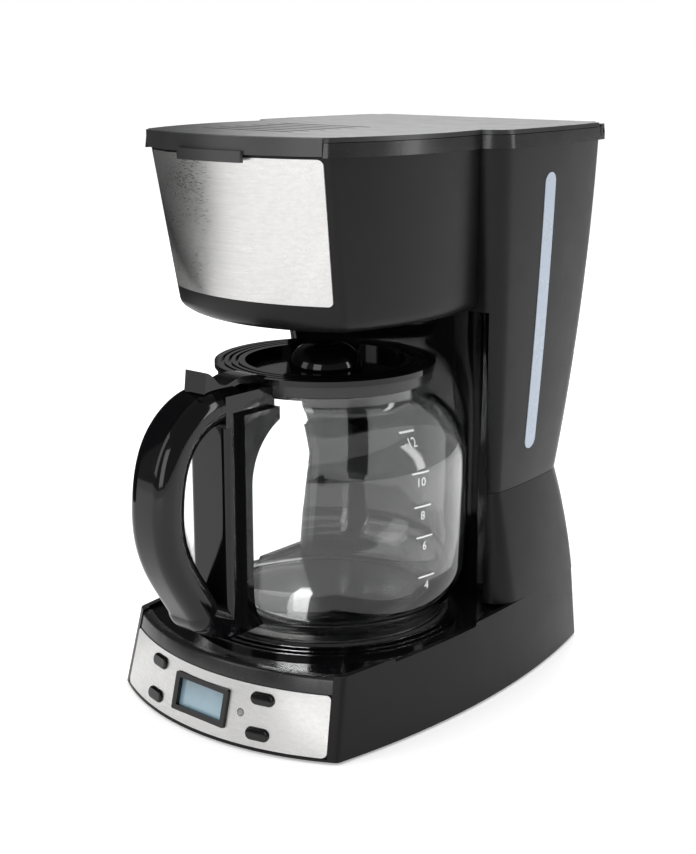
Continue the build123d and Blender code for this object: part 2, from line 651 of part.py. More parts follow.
with BuildPart() as tank_envelope:
    tank_solid(by=0.1, low=HEAD_Z - 2, high=RIM_Z + 1)

with BuildPart() as head_panel:
    head_solid(by=0.3)
    head_solid(by=-0.8, low=HEAD_Z - 1, high=RIM_Z + 1, mode=Mode.SUBTRACT)
    head_window(0.0, Mode.INTERSECT)
save(head_panel, "head_panel")

EDGE_R = 7.0             # rounding along the brew head's lower edge
EDGE_STEPS = 5

with BuildPart() as brew_housing:
    head_solid(low=HEAD_Z + EDGE_R)
    for step in range(EDGE_STEPS):
        edge_sections = []
        for angle in (radians(90 * step / EDGE_STEPS), radians(90 * (step + 1) / EDGE_STEPS)):
            level = HEAD_Z + EDGE_R * (1 - cos(angle))
            with BuildSketch(Plane.XY.offset(level)) as edge_section:
                plan(*grown(between(level, HEAD), EDGE_R * (sin(angle) - 1)))
            edge_sections.append(edge_section.sketch)
        loft(edge_sections)
    head_solid(by=-WALL, low=HEAD_Z + 3, high=RIM_Z + 1, mode=Mode.SUBTRACT)
    add(head_pocket.part, mode=Mode.SUBTRACT)
    add(tank_envelope.part, mode=Mode.SUBTRACT)
    cylinder_z(SPIGOT_R + 2.0, HEAD_Z - 1, HEAD_Z + 4, mode=Mode.SUBTRACT)
    ring_z(SPIGOT_R + 4.0, SPIGOT_R + 2.0, HEAD_Z - 5.0, HEAD_Z + 3)
save(brew_housing, "brew_housing")

# ---- rim and lid of the machine ------------------------------------------------------
RIM_WIDTH = 6.0
RIM_TAPER = 0.6
LID_FRONT_HALF = 60.6    # half width of the lid's front, between the rim's two arms
LID_FRONT_Y = -62.0
EAR_X = 76.4             # inner face of the rim's hinge ears
EAR_R = 4.2              # the ears are round about the hinge
NOTCH_Y = HINGE_Y - 5.0  # the lid's rear corners are cut clear of the ears
LID_UNDER = BAND_TOP + SEAM
BARREL_X = EAR_X - 0.4


def rim_solid(by, low, high, taper=0.0, mode=Mode.ADD):
    """Slab in the outline of the machine's top: the brew head and the wider tank."""
    for values in (RIM_HEAD, RIM_TANK):
        sections = []
        for z, shrink in ((low, 0.0), (high, taper)):
            with BuildSketch(Plane.XY.offset(z)) as section:
                plan(*grown(values, by - shrink))
            sections.append(section.sketch)
        loft(sections, mode=mode)


def pivot(radius, x0, x1, y, z, mode=Mode.ADD):
    """Cylinder along X between two stations."""
    with BuildSketch(Plane.YZ.offset(x0)) as section:
        with Locations((y, z)):
            Circle(radius)
    extrude(section.sketch, amount=x1 - x0, mode=mode)


with BuildPart() as rim_ears:
    rim_solid(0.0, RIM_Z + 2, TOP_Z - 0.3, RIM_TAPER)
    pivot(EAR_R, -100, 100, HINGE_Y, HINGE_Z, Mode.INTERSECT)
    block(-EAR_X, EAR_X, -150, 150, 290, 320, mode=Mode.SUBTRACT)

with BuildPart() as top_rim:
    rim_solid(0.0, RIM_Z + 0.05, BAND_TOP, RIM_TAPER)
    rim_solid(-RIM_WIDTH, RIM_Z - 1, BAND_TOP + 1, mode=Mode.SUBTRACT)
    add(rim_ears.part)
    front_gap = LID_FRONT_HALF + SEAM
    block(-front_gap, front_gap, -140, LID_FRONT_Y, RIM_Z - 1, TOP_Z, mode=Mode.SUBTRACT)
    block(-EAR_X, EAR_X, HINGE_Y - 7, REAR_Y + 3, HINGE_Z - HINGE_R - 0.4, TOP_Z, mode=Mode.SUBTRACT)
    pivot(PIN_R + 0.02, -100, 100, HINGE_Y, HINGE_Z, Mode.SUBTRACT)
save(top_rim, "top_rim")

FASCIA = 3.0

with BuildPart() as lid_front:
    rim_solid(0.0, RIM_Z + 0.6, TOP_Z - 0.2)
    block(-LID_FRONT_HALF, LID_FRONT_HALF, -150, LID_FRONT_Y - SEAM, 290, 320, mode=Mode.INTERSECT)

with BuildPart() as lid_hollow:
    rim_solid(-FASCIA, RIM_Z - 1, LID_UNDER)

with BuildPart() as lid_skirt:
    rim_solid(-RIM_WIDTH - 0.6, RIM_Z + 3.5, LID_UNDER + 1)
    rim_solid(-RIM_WIDTH - 2.8, RIM_Z + 2, TOP_Z + 2, mode=Mode.SUBTRACT)
    block(-100, 100, HINGE_Y - 9, 150, 290, 320, mode=Mode.SUBTRACT)

with BuildPart() as finger_tab:
    rim_solid(2.0, 297.4, 303.0)
    block(-22, 22, -120, -89.6, 290, 310, mode=Mode.INTERSECT)
    fillet(edges().filter_by(Axis.Z), 0.8)

with BuildPart() as lid:
    rim_solid(-0.9, LID_UNDER, TOP_Z, 0.5)
    add(lid_front.part)
    add(lid_hollow.part, mode=Mode.SUBTRACT)
    add(lid_skirt.part)
    with BuildSketch(Plane.XY.offset(LID_UNDER - 1)) as vents:
        with Locations((-14, -20)):
            with GridLocations(1, 12, 1, 6):
                SlotOverall(64, 3.4)
    extrude(vents.sketch, amount=5, mode=Mode.SUBTRACT)
    add(finger_tab.part)
    for side in (-1, 1):
        block(*sorted((side * (EAR_X - 0.3), side * 100)), NOTCH_Y, 150, 300, 320, mode=Mode.SUBTRACT)
    pivot(HINGE_R, -BARREL_X, BARREL_X, HINGE_Y, HINGE_Z)
    pivot(PIN_R + PIN_CLEARANCE, -BARREL_X - 1, -BARREL_X + 9, HINGE_Y, HINGE_Z, Mode.SUBTRACT)
    pivot(PIN_R + PIN_CLEARANCE, BARREL_X - 9, BARREL_X + 1, HINGE_Y, HINGE_Z, Mode.SUBTRACT)
save(lid, "lid")

with BuildPart() as lid_hinge_pins:
    for start in (-EAR_X - 5.0, EAR_X - 8.0):
        pivot(PIN_R, start, start + 13.0, HINGE_Y, HINGE_Z)
save(lid_hinge_pins, "lid_hinge_pins")

CHANNEL_LOW = 299.0
SHOWER_R = 27.0


def channel_plan(height, inset, amount, mode=Mode.ADD):
    """Water way in the lid: riser end, bend and the round end over the basket."""
    with BuildSketch(Plane.XY.offset(height)) as way:
        with BuildLine():
            Polyline((TUBE_X, HOSE_Y), (TUBE_X, PARTITION_Y - 6), (0, CARAFE_Y))
        trace(line_width=17 - 2 * inset)
        with Locations((TUBE_X, HOSE_Y)):
            Circle(9.5 - inset)
        with Locations((0, CARAFE_Y)):
            Circle(SHOWER_R + 0.5 - inset)
    extrude(way.sketch, amount=amount, mode=mode)


with BuildPart() as lid_water_channel:
    channel_plan(CHANNEL_LOW, 0.0, LID_UNDER - CHANNEL_LOW - 0.1)
    channel_plan(CHANNEL_LOW + 1.5, 1.5, 10, Mode.SUBTRACT)
    cylinder_z(8.2, NOZZLE_TOP - 1.0, CHANNEL_LOW, TUBE_X, HOSE_Y)
    cylinder_z(6.6, NOZZLE_TOP - 2.0, CHANNEL_LOW + 2, TUBE_X, HOSE_Y, Mode.SUBTRACT)
    cylinder_z(8.0, CHANNEL_LOW - 1, CHANNEL_LOW + 2, mode=Mode.SUBTRACT)
save(lid_water_channel, "lid_water_channel")

with BuildPart() as shower_head:
    cylinder_z(SHOWER_R, 291.0, CHANNEL_LOW - 0.05)
    cylinder_z(SHOWER_R - 2, 292.6, CHANNEL_LOW + 1, mode=Mode.SUBTRACT)
    with BuildSketch(Plane.XY.offset(290)) as spray_holes:
        with Locations((0, CARAFE_Y)):
            with PolarLocations(9, 6):
                Circle(1.4)
            with PolarLocations(19, 12):
                Circle(1.4)
    extrude(spray_holes.sketch, amount=4, mode=Mode.SUBTRACT)
save(shower_head, "shower_head")

# ---- filter basket and drip stop -------------------------------------------------------
CARAFE_AXIS = Axis((0, CARAFE_Y, 0), (0, 0, 1))


def turned(points, mode=Mode.ADD):
    """Solid turned about the carafe's axis from points given as (radius, height)."""
    with BuildSketch(Plane.XZ.offset(-CARAFE_Y)) as profile:
        with BuildLine():
            Polyline(*points, close=True)
        make_face()
    revolve(profile.sketch, axis=CARAFE_AXIS, mode=mode)


BASKET_WALL = 2.0
DRAIN_R = 3.6
SPIGOT_LOW = 206.0
SEAT_Z = BASKET_FLOOR + BASKET_WALL

with BuildPart() as filter_basket:
    turned(((0, BASKET_FLOOR), (40, BASKET_FLOOR), (BASKET_R, BASKET_TOP - 2), (BASKET_R + 3, BASKET_TOP - 2),
            (BASKET_R + 3, BASKET_TOP), (BASKET_R - BASKET_WALL, BASKET_TOP),
            (40 - BASKET_WALL, SEAT_Z), (0, SEAT_Z)))
    cylinder_z(DRAIN_R, BASKET_FLOOR - 1, SEAT_Z + 1, mode=Mode.SUBTRACT)
    ring_z(SPIGOT_R, SPIGOT_R - 1.8, SPIGOT_LOW, BASKET_FLOOR)
    with BuildSketch(Plane.XY.offset(SEAT_Z - 0.1)) as ribs:
        with Locations((0, CARAFE_Y)):
            with PolarLocations(22, 8):
                Rectangle(20, 1.6)
    extrude(ribs.sketch, amount=4)
save(filter_basket, "filter_basket")

with BuildPart() as permanent_filter:
    turned(((0, 226), (30, 226), (50, 283), (50, BASKET_TOP + 0.1), (BASKET_R + 2, BASKET_TOP + 0.1),
            (BASKET_R + 2, 285.4), (48.8, 285.4), (29.2, 227), (0, 227)))
    block(-7, 7, CARAFE_Y + BASKET_R - 2, CARAFE_Y + BASKET_R + 8, BASKET_TOP + 0.4, 286.4)
    with BuildSketch(Plane.XY.offset(220)) as mesh_holes:
        with Locations((0, CARAFE_Y)):
            for radius, count in ((9, 8), (17, 14), (25, 20)):
                with PolarLocations(radius, count):
                    Circle(1.3)
    extrude(mesh_holes.sketch, amount=10, mode=Mode.SUBTRACT)
save(permanent_filter, "permanent_filter")

with BuildPart() as drip_valve:
    cylinder_z(8.0, SEAT_Z + 1.2, SEAT_Z + 3.0)
    cylinder_z(2.0, VALVE_TIP, SEAT_Z + 2)
    cylinder_z(6.0, VALVE_TIP, VALVE_TIP + 2)
save(drip_valve, "drip_valve")

with BuildPart() as valve_seal:
    ring_z(7.4, 2.05, SEAT_Z + 0.35, SEAT_Z + 1.15)
save(valve_seal, "valve_seal")

SPRING_LOW, SPRING_HIGH = VALVE_TIP + 2.6, BASKET_FLOOR - 0.6
with BuildPart() as valve_spring:
    with BuildLine():
        coil = Helix(pitch=(SPRING_HIGH - SPRING_LOW) / 5, height=SPRING_HIGH - SPRING_LOW, radius=4.6,
                     center=(0, CARAFE_Y, SPRING_LOW))
    with BuildSketch(Plane(coil @ 0, z_dir=coil % 0)) as wire:
        Circle(0.45)
    sweep(wire.sketch, path=coil)
save(valve_spring, "valve_spring")

# ---- carafe --------------------------------------------------------------------------------
COLLAR_LOW, COLLAR_HIGH, COLLAR_R = 176.5, 182.6, 58.8
STRAP_HALF = 14.0
STRAP_FRONT = -97.0
GRIP_SPLIT = -100.0
GRIP_SIZE = (28.0, 19.0)
GRIP_ROUND = 8.6


def jar(foot, heel, wall_low, wall_high, shoulder, throat, neck, mode=Mode.ADD):
    """Jar turned about the carafe's axis; every argument is a (radius, height)."""
    with BuildSketch(Plane.XZ.offset(-CARAFE_Y)) as profile:
        with BuildLine():
            Line((0, foot[1]), foot)
            ThreePointArc(foot, heel, wall_low)
            Line(wall_low, wall_high)
            ThreePointArc(wall_high, shoulder, throat)
            Line(throat, (neck[0], throat[1] + 5))
            Line((neck[0], throat[1] + 5), neck)
            Line(neck, (0, neck[1]))
            Line((0, neck[1]), (0, foot[1]))
        make_face()
    revolve(profile.sketch, axis=CARAFE_AXIS, mode=mode)


def jar_outside(by, mode=Mode.ADD):
    """Outside of the glass, moved outwards by a clearance."""
    jar((60.0, GLASS_BOTTOM - by), (72.5 + by, 57.3), (GLASS_R + by, 76.0), (GLASS_R + by, 134.0),
        (71.0 + by, 155.5 + by), (58.0 + by, 165.5 + by), (NECK_R + by, NECK_TOP), mode)


with BuildPart() as carafe_glass:
    jar_outside(0.0)
    jar((59.4, GLASS_BOTTOM + GLASS_WALL), (70.7, 58.8), (GLASS_R - GLASS_WALL, 76.3),
        (GLASS_R - GLASS_WALL, 133.7), (69.3, 154.0), (56.6, 163.8), (NECK_R - GLASS_WALL, NECK_TOP + 1),
        Mode.SUBTRACT)
    fillet(edges().filter_by(GeomType.CIRCLE).group_by(Axis.Z)[-1], 0.9)
save(carafe_glass, "carafe_glass")

with BuildPart() as carafe_collar:
    ring_z(COLLAR_R, NECK_R + 0.15, COLLAR_LOW, COLLAR_HIGH)
    fillet(edges().filter_by(GeomType.CIRCLE).sort_by(Axis.Z)[0], 1.0)
save(carafe_collar, "carafe_collar")


def grip_bar():
    """Rounded bar bent into the carafe's C-shaped handle."""
    with BuildLine(Plane.YZ) as bow:
        Spline((-84.0, 176.0), (-104.0, 175.0), (-121.5, 163.0), (-131.3, 135.0), (-125.5, 98.0),
               (-110.0, 71.5), (-90.0, 59.5), tangents=((-1, 0), (1, -0.45)))
    path = bow.wires()[0]
    with BuildSketch(Plane(path @ 0, x_dir=(1, 0, 0), z_dir=path % 0)) as bar:
        RectangleRounded(*GRIP_SIZE, GRIP_ROUND)
    sweep(bar.sketch, path=path)


with BuildPart() as handle_grip:
    grip_bar()
    block(-30, 30, GRIP_SPLIT - 0.15, 0, 0, 220, mode=Mode.SUBTRACT)
    block(-8.3, 8.3, -107.5, 0, 174, 220, mode=Mode.SUBTRACT)
save(handle_grip, "handle_grip")

STRAP_LOW = 53.0

with BuildPart() as strap:
    block(-STRAP_HALF, STRAP_HALF, STRAP_FRONT, -70, STRAP_LOW, 180)
    fillet(edges().filter_by(Axis.Z).group_by(Axis.Y)[0], 4.0)
    fillet(edges().group_by(Axis.Z)[0].sort_by(Axis.Y)[0], 3.0)

with BuildPart() as carafe_handle:
    grip_bar()
    add(strap.part)
    block(-STRAP_HALF, STRAP_HALF, STRAP_FRONT, -50, 166, COLLAR_HIGH - 0.2)
    block(-18, 18, -88, -62, STRAP_LOW + 4, 172)
    block(-30, 30, -200, GRIP_SPLIT, 0, 220, mode=Mode.SUBTRACT)
    jar_outside(0.15, Mode.SUBTRACT)
    cylinder_z(COLLAR_R + 0.15, COLLAR_LOW - 0.5, 220, mode=Mode.SUBTRACT)
    cylinder_z(NECK_R + 3.0, 150, 220, mode=Mode.SUBTRACT)
    block(-8.3, 8.3, -110, 0, 173, 220, mode=Mode.SUBTRACT)
    pivot(PIN_R + 0.02, -12.5, 12.5, CARAFE_HINGE_Y, CARAFE_HINGE_Z, Mode.SUBTRACT)
save(carafe_handle, "carafe_handle")

with BuildPart() as carafe_lid_pin:
    pivot(PIN_R, -12.3, 12.3, CARAFE_HINGE_Y, CARAFE_HINGE_Z)
save(carafe_lid_pin, "carafe_lid_pin")

PLUG_R = NECK_R - GLASS_WALL - 0.5
RECESS_R = 44.0
LID_RING_TOP = LID_RING_Z + 3.0

with BuildPart() as carafe_lid:
    ring_z(LID_RING_R, RECESS_R, LID_RING_Z, LID_RING_TOP)
    ring_z(RECESS_R + 2, RECESS_R, 179.4, LID_RING_TOP)
    cylinder_z(RECESS_R + 1, 179.4, 181.0)
    ring_z(PLUG_R, PLUG_R - 2, 174.0, LID_RING_Z + 1)
    for radius in (48.4, 52.2, 56.0):
        ring_z(radius + 0.9, radius - 0.9, LID_RING_TOP - 1.3, LID_RING_TOP + 1, mode=Mode.SUBTRACT)
    cylinder_z(7.0, 170, 185, mode=Mode.SUBTRACT)
    with BuildSketch(Plane.YZ.offset(-7.4)) as lever_side:
        with BuildLine():
            Spline((-60, 186.0), (-72, 188.6), (-84, 188.0), (-93, 186.6), (-97.6, 190.6), (-103.6, 194.8))
            Line((-103.6, 194.8), (-105.2, 181.4))
            Spline((-105.2, 181.4), (-97.5, 180.2), (-88, 183.4), (-74, 184.2))
            Line((-74, 184.2), (-74, 182.9))
            Line((-74, 182.9), (-60, 183.2))
            Line((-60, 183.2), (-60, 186.0))
        make_face()
    extrude(lever_side.sketch, amount=14.8)
    pivot(3.4, -7.4, 7.4, CARAFE_HINGE_Y, CARAFE_HINGE_Z)
    block(-7.4, 7.4, CARAFE_HINGE_Y - 3.4, CARAFE_HINGE_Y + 3.4, CARAFE_HINGE_Z, LID_RING_Z + 1)
    pivot(PIN_R + PIN_CLEARANCE, -10, 10, CARAFE_HINGE_Y, CARAFE_HINGE_Z, Mode.SUBTRACT)
save(carafe_lid, "carafe_lid")

DOME_R, DOME_TOP = 20.0, 195.0

with BuildPart() as drip_dome:
    with BuildSketch(Plane.XZ.offset(-CARAFE_Y)) as dome_profile:
        with BuildLine():
            Line((4.5, DOME_TOP), (7.0, DOME_TOP))
            ThreePointArc((7.0, DOME_TOP), (16.0, 191.0), (DOME_R, 181.1))
            Line((DOME_R, 181.1), (DOME_R - 1.6, 181.1))
            ThreePointArc((DOME_R - 1.6, 181.1), (14.8, 189.6), (6.6, DOME_TOP - 1.6))
            Line((6.6, DOME_TOP - 1.6), (4.5, DOME_TOP - 1.6))
            Line((4.5, DOME_TOP - 1.6), (4.5, DOME_TOP))
        make_face()
    revolve(dome_profile.sketch, axis=CARAFE_AXIS)
save(drip_dome, "drip_dome")
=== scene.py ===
import math

import bmesh
import bpy
import numpy as np
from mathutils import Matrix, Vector


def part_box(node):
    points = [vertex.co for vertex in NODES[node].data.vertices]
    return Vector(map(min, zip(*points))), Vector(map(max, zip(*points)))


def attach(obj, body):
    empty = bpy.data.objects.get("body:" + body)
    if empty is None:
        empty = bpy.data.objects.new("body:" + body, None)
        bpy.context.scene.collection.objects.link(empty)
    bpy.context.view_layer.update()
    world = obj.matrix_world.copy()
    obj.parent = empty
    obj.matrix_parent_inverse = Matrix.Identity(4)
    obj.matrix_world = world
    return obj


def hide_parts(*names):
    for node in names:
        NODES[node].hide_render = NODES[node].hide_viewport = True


bl_info = {
    "name": "Drip coffee maker",
    "version": (1, 0, 0),
    "blender": (4, 5, 0),
    "location": "View3D > Sidebar > Coffee",
    "description": "Finishes and fine surfaces for a drip coffee maker built on its CAD frame",
    "category": "Object",
}

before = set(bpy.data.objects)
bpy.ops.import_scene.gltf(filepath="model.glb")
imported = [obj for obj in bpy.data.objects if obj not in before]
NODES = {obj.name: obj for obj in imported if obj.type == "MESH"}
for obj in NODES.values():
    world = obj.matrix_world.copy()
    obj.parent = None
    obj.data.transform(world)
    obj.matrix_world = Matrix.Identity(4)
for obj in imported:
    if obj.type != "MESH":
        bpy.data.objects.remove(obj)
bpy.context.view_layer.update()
MM = 0.001

GLASS_LOW, GLASS_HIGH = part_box("carafe_glass")
JUG_Y = (GLASS_LOW.y + GLASS_HIGH.y) / 2
JUG_R = (GLASS_HIGH.x - GLASS_LOW.x) / 2


# ---- settings ---------------------------------------------------------------------

def shade(name, description, default):
    """Colour setting with a default."""
    return bpy.props.FloatVectorProperty(
        name=name, description=description, default=default, size=3, subtype="COLOR",
        min=0.0, max=1.0)


def length(name, description, default):
    """Length setting with a default, in metres."""
    return bpy.props.FloatProperty(
        name=name, description=description, default=default, unit="LENGTH", min=0.0)


class CoffeeColours(bpy.types.PropertyGroup):
    """Colours of the finishes."""
    housing: shade("Housing", "Satin black of the tank, the head and the base", (0.005, 0.005, 0.0055))
    gloss: shade("Gloss", "High-gloss black of the handle, the column and the deck",
                 (0.0025, 0.0025, 0.003))
    lid: shade("Lid", "Soft grey of the top lid", (0.022, 0.022, 0.023))
    trim: shade("Trim", "Dark grey of the rim, the bezel and the collar", (0.012, 0.012, 0.0125))
    panel: shade("Panel", "Brushed steel of the two front panels", (0.60, 0.595, 0.59))
    screen: shade("Screen", "Blue-grey of the unlit screen", (0.17, 0.26, 0.31))
    gauge: shade("Gauge", "Pale blue-grey of the level gauge", (0.36, 0.43, 0.52))
    print_white: shade("Print", "White of the printed cup marks", (0.86, 0.87, 0.87))


class CoffeeSizes(bpy.types.PropertyGroup):
    """Sizes of the fine details."""
    glass_wall: length("Glass wall", "Thickness of the jug's wall", 0.0022)
    digit_height: length("Digit height", "Height of the printed cup numbers", 0.0046)
    mark_length: length("Mark length", "Length of a printed cup line", 0.0115)
    mark_width: length("Mark width", "Width of a printed cup line", 0.0009)
    print_depth: length("Print depth", "Thickness of the print", 0.00005)


def colours():
    """The current colours."""
    return bpy.context.scene.coffee_colours


def sizes():
    """The current sizes."""
    return bpy.context.scene.coffee_sizes


# ---- materials ----------------------------------------------------------------------

MIX_FIRST, MIX_SECOND, MIX_RESULT = 6, 7, 2      # colour sockets of the mix node


class Recipe:
    """A material's node tree, with short calls for the nodes it uses."""

    def __init__(self, name):
        self.material = bpy.data.materials.new(name)
        self.material.use_nodes = True
        self.tree = self.material.node_tree
        self.shader = self.tree.nodes["Principled BSDF"]
        self.place = self.tree.nodes.new("ShaderNodeTexCoord").outputs["Object"]

    def node(self, kind, inputs=(), **settings):
        """Adds a node, sets it and joins or fills its inputs."""
        node = self.tree.nodes.new(kind)
        for key, value in settings.items():
            setattr(node, key, value)
        for key, value in dict(inputs).items():
            self.fill(node.inputs[key], value)
        return node

    def fill(self, socket, value):
        """Joins a socket to an output, or sets its value."""
        if isinstance(value, bpy.types.NodeSocket):
            self.tree.links.new(value, socket)
        else:
            socket.default_value = value

    def set(self, **values):
        """Sets the shader's sockets; underscores stand for spaces."""
        for key, value in values.items():
            self.fill(self.shader.inputs[key.replace("_", " ")], value)

    def noise(self, scale, detail=3.0, stretch=(1.0, 1.0, 1.0), roughness=0.55):
        """Noise in the object's own place, stretched by three factors."""
        place = self.node("ShaderNodeMapping", {"Vector": self.place, "Scale": stretch})
        noise = self.node("ShaderNodeTexNoise", {"Vector": place.outputs["Vector"], "Scale": scale,
                                                 "Detail": detail, "Roughness": roughness})
        return noise.outputs["Fac"]

    def spread(self, value, low, high, start=0.3, end=0.7):
        """Maps a value from start..end to low..high."""
        node = self.node("ShaderNodeMapRange", {"Value": value, "From Min": start, "From Max": end,
                                                "To Min": low, "To Max": high})
        return node.outputs["Result"]

    def tint(self, value, dark, light):
        """Colour between two, by a value from 0 to 1."""
        node = self.node("ShaderNodeMix", {"Factor": value}, data_type="RGBA")
        self.fill(node.inputs[MIX_FIRST], (*dark, 1.0))
        self.fill(node.inputs[MIX_SECOND], (*light, 1.0))
        return node.outputs[MIX_RESULT]

    def bump(self, height, strength, distance, below=None):
        """Bump from a height, on top of another bump."""
        inputs = {"Height": height, "Strength": strength, "Distance": distance}
        if below is not None:
            inputs["Normal"] = below
        return self.node("ShaderNodeBump", inputs).outputs["Normal"]

    def scratches(self, scale, stretch, width):
        """Sparse thin lines, as light wear leaves: 1 on a scratch and 0 off it."""
        place = self.node("ShaderNodeMapping", {"Vector": self.place, "Scale": stretch,
                                                "Rotation": (0.2, 0.5, 0.3)})
        cells = self.node("ShaderNodeTexVoronoi", {"Vector": place.outputs["Vector"], "Scale": scale},
                          feature="DISTANCE_TO_EDGE")
        return self.spread(cells.outputs["Distance"], 1.0, 0.0, 0.0, width)


def scaled(colour, factor):
    """A colour made darker or lighter."""
    return tuple(min(channel * factor, 1.0) for channel in colour)


def moulded(name, colour, rough, grain=0.12, grain_scale=2600.0, haze=0.06, shine=0.5):
    """Moulded plastic: spark grain, faint flow clouds, dust haze and light scratches."""
    r = Recipe(name)
    clouds = r.noise(16.0, 4.0)
    r.set(Base_Color=r.tint(r.spread(clouds, 0.0, 1.0), scaled(colour, 0.82), scaled(colour, 1.22)))
    dust = r.noise(55.0, 6.0, roughness=0.7)
    lines = r.scratches(26.0, (1.0, 0.25, 0.6), 0.0035)
    worn = r.node("ShaderNodeMath", {0: lines, 1: r.spread(r.noise(9.0, 2.0), 0.0, 0.10)},
                  operation="MULTIPLY").outputs["Value"]
    base = r.spread(dust, rough - haze * 0.5, rough + haze)
    r.set(Roughness=r.node("ShaderNodeMath", {0: base, 1: worn}, operation="ADD").outputs["Value"])
    flow = r.bump(r.noise(7.0, 2.0), 0.05, 0.0006)
    r.set(Normal=r.bump(r.noise(grain_scale, 2.0), grain, 0.00006, flow))
    r.set(IOR=1.5, Specular_IOR_Level=shine)
    return r.material


def brushed(name, colour, rough, stretch=(6.0, 700.0, 700.0), strength=0.22):
    """Brushed metal: fine lines along the sheet, uneven shine and faint finger haze."""
    r = Recipe(name)
    lines = r.noise(1.0, 5.0, stretch, 0.75)
    fine = r.noise(1.0, 2.0, tuple(3.1 * part for part in stretch), 0.6)
    r.set(Base_Color=r.tint(r.spread(lines, 0.0, 1.0), scaled(colour, 0.90), scaled(colour, 1.06)))
    haze = r.spread(r.noise(24.0, 4.0), -0.02, 0.04)
    grain = r.spread(fine, rough - 0.05, rough + 0.07)
    r.set(Roughness=r.node("ShaderNodeMath", {0: grain, 1: haze}, operation="ADD").outputs["Value"])
    coarse = r.bump(lines, strength, 0.00003)
    r.set(Normal=r.bump(fine, strength * 0.6, 0.00002, coarse))
    r.set(Metallic=1.0, Anisotropic=0.55)
    return r.material


def clear_glass(name, tint, rough=0.0, wave=0.0):
    """Blown glass: clear, with a faint waviness and a trace of dust."""
    r = Recipe(name)
    r.set(Base_Color=(*tint, 1.0), Transmission_Weight=1.0, IOR=1.47)
    r.set(Roughness=r.spread(r.noise(40.0, 5.0), rough, rough + 0.012))
    r.set(Normal=r.bump(r.noise(14.0, 1.0), wave, 0.0008))
    return r.material


def frosted(name, colour, rough, clear, cloud=0.12):
    """Cloudy moulded plastic that lets some light through."""
    r = Recipe(name)
    clouds = r.spread(r.noise(20.0, 3.0), 0.0, 1.0)
    r.set(Base_Color=r.tint(clouds, scaled(colour, 1.0 - cloud), scaled(colour, 1.0 + cloud)))
    r.set(Roughness=r.spread(r.noise(90.0, 4.0), rough - 0.05, rough + 0.08))
    r.set(Normal=r.bump(r.noise(1500.0, 2.0), 0.1, 0.00005))
    r.set(Transmission_Weight=clear, IOR=1.49, Coat_Weight=0.6, Coat_Roughness=0.08)
    return r.material


def screen_face(name, colour):
    """Unlit liquid crystal under a clear window, with painted shading: darker at the top and lighter
    towards its lower edge.
    """
    r = Recipe(name)
    height = r.node("ShaderNodeSeparateXYZ", {"Vector": r.place}).outputs["Z"]
    low, high = (corner.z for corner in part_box("display_window"))
    # painted shading: the screen's colour runs from dark at its top to light at its lower edge
    painted_shade = r.spread(height, 1.0, 0.0, low, high)
    cloud = r.spread(r.noise(60.0, 3.0), -0.12, 0.12)
    mixed = r.node("ShaderNodeMath", {0: painted_shade, 1: cloud}, operation="ADD").outputs["Value"]
    r.set(Base_Color=r.tint(mixed, scaled(colour, 0.72), scaled(colour, 1.5)))
    r.set(Roughness=r.spread(r.noise(300.0, 2.0), 0.16, 0.24), Coat_Weight=1.0, Coat_Roughness=0.04)
    r.set(Normal=r.bump(r.noise(900.0, 2.0), 0.05, 0.00004))
    return r.material


def cast_metal(name, colour, rough):
    """Bare cast or drawn metal: mottled, dull, with a sandy grain."""
    r = Recipe(name)
    mottle = r.noise(120.0, 5.0)
    r.set(Base_Color=r.tint(r.spread(mottle, 0.0, 1.0), scaled(colour, 0.75), scaled(colour, 1.1)))
    r.set(Roughness=r.spread(r.noise(260.0, 4.0), rough - 0.06, rough + 0.12), Metallic=1.0)
    r.set(Normal=r.bump(r.noise(1400.0, 3.0), 0.25, 0.00008))
    return r.material


def rubbery(name, colour, rough):
    """Rubber: matt, finely pitted, slightly dusty."""
    r = Recipe(name)
    dust = r.noise(180.0, 5.0)
    r.set(Base_Color=r.tint(r.spread(dust, 0.0, 1.0), colour, scaled(colour, 1.5)))
    r.set(Roughness=r.spread(r.noise(70.0, 4.0), rough - 0.08, rough + 0.08))
    r.set(Normal=r.bump(r.noise(2200.0, 3.0), 0.3, 0.00006))
    return r.material


def circuit(name):
    """Circuit board: green lacquer over copper tracks, with glassy shine."""
    r = Recipe(name)
    tracks = r.node("ShaderNodeTexBrick", {"Vector": r.place, "Scale": 160.0, "Mortar Size": 0.03})
    r.set(Base_Color=r.tint(tracks.outputs["Fac"], (0.01, 0.075, 0.03), (0.03, 0.16, 0.06)))
    r.set(Roughness=r.spread(r.noise(300.0, 3.0), 0.25, 0.4))
    r.set(Normal=r.bump(tracks.outputs["Fac"], 0.3, 0.00004))
    return r.material


def non_stick(name):
    """Non-stick plate: black speckled coating with fine circular rub marks."""
    r = Recipe(name)
    centre = r.node("ShaderNodeMapping", {"Vector": r.place, "Location": (0.0, -JUG_Y, 0.0)})
    rings = r.node("ShaderNodeTexWave", {"Vector": centre.outputs["Vector"], "Scale": 260.0,
                                         "Distortion": 1.2, "Detail": 3.0},
                   wave_type="RINGS", rings_direction="Z")
    flecks = r.noise(900.0, 3.0)
    r.set(Base_Color=r.tint(r.spread(flecks, 0.0, 1.0, 0.5, 0.72),
                            (0.006, 0.006, 0.006), (0.03, 0.03, 0.03)))
    r.set(Roughness=r.spread(rings.outputs["Fac"], 0.22, 0.36, 0.0, 1.0))
    r.set(Normal=r.bump(rings.outputs["Fac"], 0.12, 0.00005))
    return r.material


def printed(name, colour):
    """Screen-printed ink: flat white with a faint grain."""
    r = Recipe(name)
    speck = r.noise(1200.0, 2.0)
    r.set(Base_Color=r.tint(r.spread(speck, 0.0, 1.0), scaled(colour, 0.9), colour))
    r.set(Roughness=r.spread(speck, 0.4, 0.55), Normal=r.bump(speck, 0.1, 0.00003))
    return r.material


FINISHES = {}


